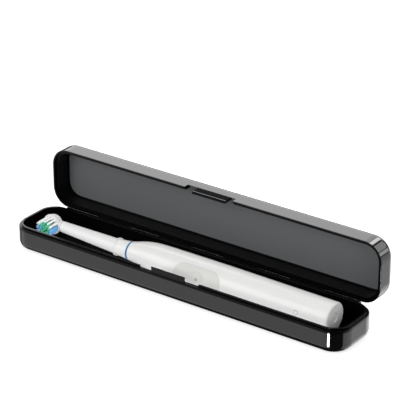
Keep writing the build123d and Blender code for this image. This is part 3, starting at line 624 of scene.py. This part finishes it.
nylon, tree, place = start_finish("dyed_nylon_painted_light")  # silky, with a bright core
from_middle = add(tree, "ShaderNodeMapping", place, inputs={"Location": (-HEAD_X, 0, -AXIS_Z)})
along, forth, above = add(tree, SPLIT, from_middle).node.outputs
reach = add(tree, VECTOR_MATH, add(tree, JOIN, along, above), out="Value", operation="LENGTH")
sideways = add(tree, MATH, along, operation="ABSOLUTE")
at_sides = add(tree, RANGE, sideways, BLUE_FROM - DYE_EDGE, BLUE_FROM, 0.0, 1.0)
between = add(tree, RANGE, sideways, BLUE_FROM, BLUE_FROM - DYE_EDGE, 0.0, 1.0)
low_enough = add(tree, RANGE, above, BLUE_TOP, BLUE_TOP + DYE_EDGE, 1.0, 0.0)
below_middle = add(tree, RANGE, above, 0.0, DYE_EDGE, 1.0, 0.0)
blue = add(tree, MATH, low_enough, at_sides, operation="MULTIPLY")
green = add(tree, MATH, add(tree, RANGE, reach, GREEN_TO + DYE_EDGE, GREEN_TO, 0.0, 1.0),
            add(tree, MATH, below_middle, between, operation="MULTIPLY"), operation="MAXIMUM")

strand_colour = add(tree, MIX, blue, data_type="RGBA", out=COLOUR_OUT, inputs={
    COLOUR_A: "fdfefe", COLOUR_B: "74c4ff"})
# painted shade: the green is darker towards the root, where little light gets in
root_to_tip = add(tree, RANGE, forth, SHADED_Y, FULL_DYE_Y, 0.0, 1.0)
green_dye_and_root_shade = add(tree, MIX, root_to_tip, data_type="RGBA", out=COLOUR_OUT, inputs={
    COLOUR_A: "0a3b2c", COLOUR_B: "2edb9f"})
strand_colour = add(tree, MIX, green, data_type="RGBA", out=COLOUR_OUT, inputs={
    COLOUR_A: strand_colour, COLOUR_B: green_dye_and_root_shade})
# painted highlight: the tips are paler, for light that comes through their rounded ends
tips = add(tree, RANGE, forth, PALE_FROM_Y, TIP_Y, 0.0, TIP_PAINTED_LIGHT)
set_shader(tree, {"Roughness": 0.32, "IOR": 1.53, "Base Color": add(
    tree, MIX, tips, data_type="RGBA", out=COLOUR_OUT, inputs={
        COLOUR_A: strand_colour, COLOUR_B: "f4fbff"})})
print("nylon nodes:", len(tree.nodes))

# %% [markdown]
# ## The bristles
#
# Each tuft is a bundle of nylon strands, folded and stapled into a hole of the plate. A real one
# has some sixty thin strands. The strands repeat hundreds of times with small differences, so
# modelling them by hand makes no sense, and Geometry Nodes make them: tufts stand on a ring,
# points are thrown into the round of each tuft, and a thin tapered rod stands on each point.

# %% A tree with named sizes
TUFT_RINGS = (                                # ring radius, tufts, tuft radius, strand length in mm
    (5.15, 14, 0.42, 7.5),
    (3.05, 8, 0.42, 7.1),
    (1.00, 3, 0.42, 6.9),
)
STRANDS_PER_TUFT = 36
STRAND_R, TIP_SHARE = 0.085 * MM, 0.55        # 0.17 mm nylon filament, ground down at its tip
STRAND_SIDES = 6                              # enough for a rod that is thinner than a pixel
SPLAY = 60.0                                  # lean in radians for each metre off the tuft's middle

grow = bpy.data.node_groups.new("ring_of_tufts", "GeometryNodeTree")
socket_ids = {}
for name, kind, value in (
        ("Ring Radius", "NodeSocketFloat", 5.0 * MM), ("Tufts", "NodeSocketInt", 16),
        ("Tuft Radius", "NodeSocketFloat", 0.7 * MM), ("Length", "NodeSocketFloat", 7.0 * MM),
        ("Strands", "NodeSocketInt", 50), ("Seed", "NodeSocketInt", 1)):
    item = grow.interface.new_socket(name, in_out="INPUT", socket_type=kind)
    item.default_value = value
    socket_ids[name] = item.identifier
grow.interface.new_socket("Geometry", in_out="OUTPUT", socket_type="NodeSocketGeometry")
given = add(grow, "NodeGroupInput").node.outputs
print("inputs of the tree:", ", ".join(socket_ids))

# %% Where the strands stand
ring = add(grow, "GeometryNodeMeshCircle", inputs={
    "Vertices": given["Tufts"], "Radius": given["Ring Radius"]})
tuft_points = add(grow, "GeometryNodeMeshToPoints", inputs={"Mesh": ring})
many = add(grow, "GeometryNodeDuplicateElements", domain="POINT", inputs={
    "Geometry": tuft_points, "Amount": given["Strands"]})

# three numbers for each strand, each from a seed of its own: the strand's turn about the tuft's
# middle, how far out it stands, and how much of its full length is left
turn, far_out, cut = (
    add(grow, "FunctionNodeRandomValue", data_type="FLOAT", out=1, inputs={
        NUMBER_A: low, NUMBER_B: high,
        "Seed": add(grow, MATH, given["Seed"], seed_step, operation="ADD")})
    for low, high, seed_step in ((0.0, 2 * pi, 0), (0.0, 1.0, 7), (0.95, 1.0, 13)))
# tufts at the sides of the ring are wider than those at its top and bottom
WIDER_FROM, WIDEST_FROM, WIDEST = 3.2 * MM, 4.6 * MM, 1.5
aside = add(grow, MATH, add(grow, SPLIT, add(grow, "GeometryNodeInputPosition")),
            operation="ABSOLUTE")
widening = add(grow, RANGE, aside, WIDER_FROM, WIDEST_FROM, 1.0, WIDEST)
spread = add(grow, MATH, far_out, operation="SQRT")       # the root spreads them evenly over a disc
spread = add(grow, MATH, spread, given["Tuft Radius"], operation="MULTIPLY")
spread = add(grow, MATH, spread, widening, operation="MULTIPLY")
off_x = add(grow, MATH, spread, add(grow, MATH, turn, operation="COSINE"), operation="MULTIPLY")
off_y = add(grow, MATH, spread, add(grow, MATH, turn, operation="SINE"), operation="MULTIPLY")
spots = add(grow, "GeometryNodeSetPosition", inputs={
    "Geometry": many, "Offset": add(grow, JOIN, off_x, off_y)})
print("strands in all:", STRANDS_PER_TUFT * sum(tufts for _, tufts, _, _ in TUFT_RINGS))

# %% One strand on each spot
rod = add(grow, "GeometryNodeMeshCone", inputs={
    "Vertices": STRAND_SIDES, "Side Segments": 1, "Radius Top": STRAND_R * TIP_SHARE,
    "Radius Bottom": STRAND_R, "Depth": 1.0})
tall = add(grow, MATH, cut, given["Length"], operation="MULTIPLY")
# strands lean outwards a touch, as they splay from their hole
lean = add(grow, JOIN, add(grow, MATH, off_y, -SPLAY, operation="MULTIPLY"),
           add(grow, MATH, off_x, SPLAY, operation="MULTIPLY"))
planted = add(grow, "GeometryNodeInstanceOnPoints", inputs={
    "Points": spots, "Instance": rod, "Rotation": lean, "Scale": add(grow, JOIN, 1.0, 1.0, tall)})
real = add(grow, "GeometryNodeRealizeInstances", planted)
painted = add(grow, "GeometryNodeSetMaterial", inputs={"Geometry": real, "Material": nylon})
add(grow, "NodeGroupOutput", painted)
print("nodes in the tree:", len(grow.nodes))

# %% [markdown]
# ## Planting the rings
#
# The three rings of tufts are the same tree with other sizes. Each result becomes a plain mesh, and
# the three are gathered in one piece, which stands for the CAD tufts and turns with the plate.

# %% Three rings in one mesh
FIRST_SEED = 3
gathered = bmesh.new()
for index, (ring_r, tufts, tuft_r, length) in enumerate(TUFT_RINGS):
    holder = bpy.data.objects.new("ring", bpy.data.meshes.new("ring"))
    bpy.context.collection.objects.link(holder)
    growth = holder.modifiers.new("tufts", "NODES")
    growth.node_group = grow
    for name, value in (("Ring Radius", ring_r * MM), ("Tufts", tufts),
                        ("Tuft Radius", tuft_r * MM), ("Length", length * MM),
                        ("Strands", STRANDS_PER_TUFT), ("Seed", FIRST_SEED + index)):
        growth[socket_ids[name]] = value
    bpy.context.view_layer.update()
    made = bpy.data.meshes.new_from_object(
        holder.evaluated_get(bpy.context.evaluated_depsgraph_get()))
    bpy.data.objects.remove(holder)
    gathered.from_mesh(made)
    print("ring", index + 1, "has", len(made.polygons), "faces")
    bpy.data.meshes.remove(made)

bristles = bpy.data.objects.new("bristles", bpy.data.meshes.new("bristles"))
gathered.to_mesh(bristles.data)
gathered.free()
bristles.data.materials.append(nylon)
bpy.context.collection.objects.link(bristles)

# %% The bristles in their place
PLATE_FRONT_Y = -0.3 * MM                     # the plate's face, where the strands come out
heights = [v.co.z for v in bristles.data.vertices]
# the roots are set on z = 0, then the ring is laid towards -y and moved to the plate
bristles.data.transform(
    Matrix.Translation((HEAD_X, PLATE_FRONT_Y, AXIS_Z)) @ Matrix.Rotation(pi / 2, 4, "X")
    @ Matrix.Translation((0, 0, -min(heights))))
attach(bristles, "plate")
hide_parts("bristle_tufts")
for linked in (brush_pieces, bristle_pieces):
    linked.objects.link(bristles)
print("bristle faces:", len(bristles.data.polygons),
      "height in mm:", round((max(heights) - min(heights)) / MM, 2))
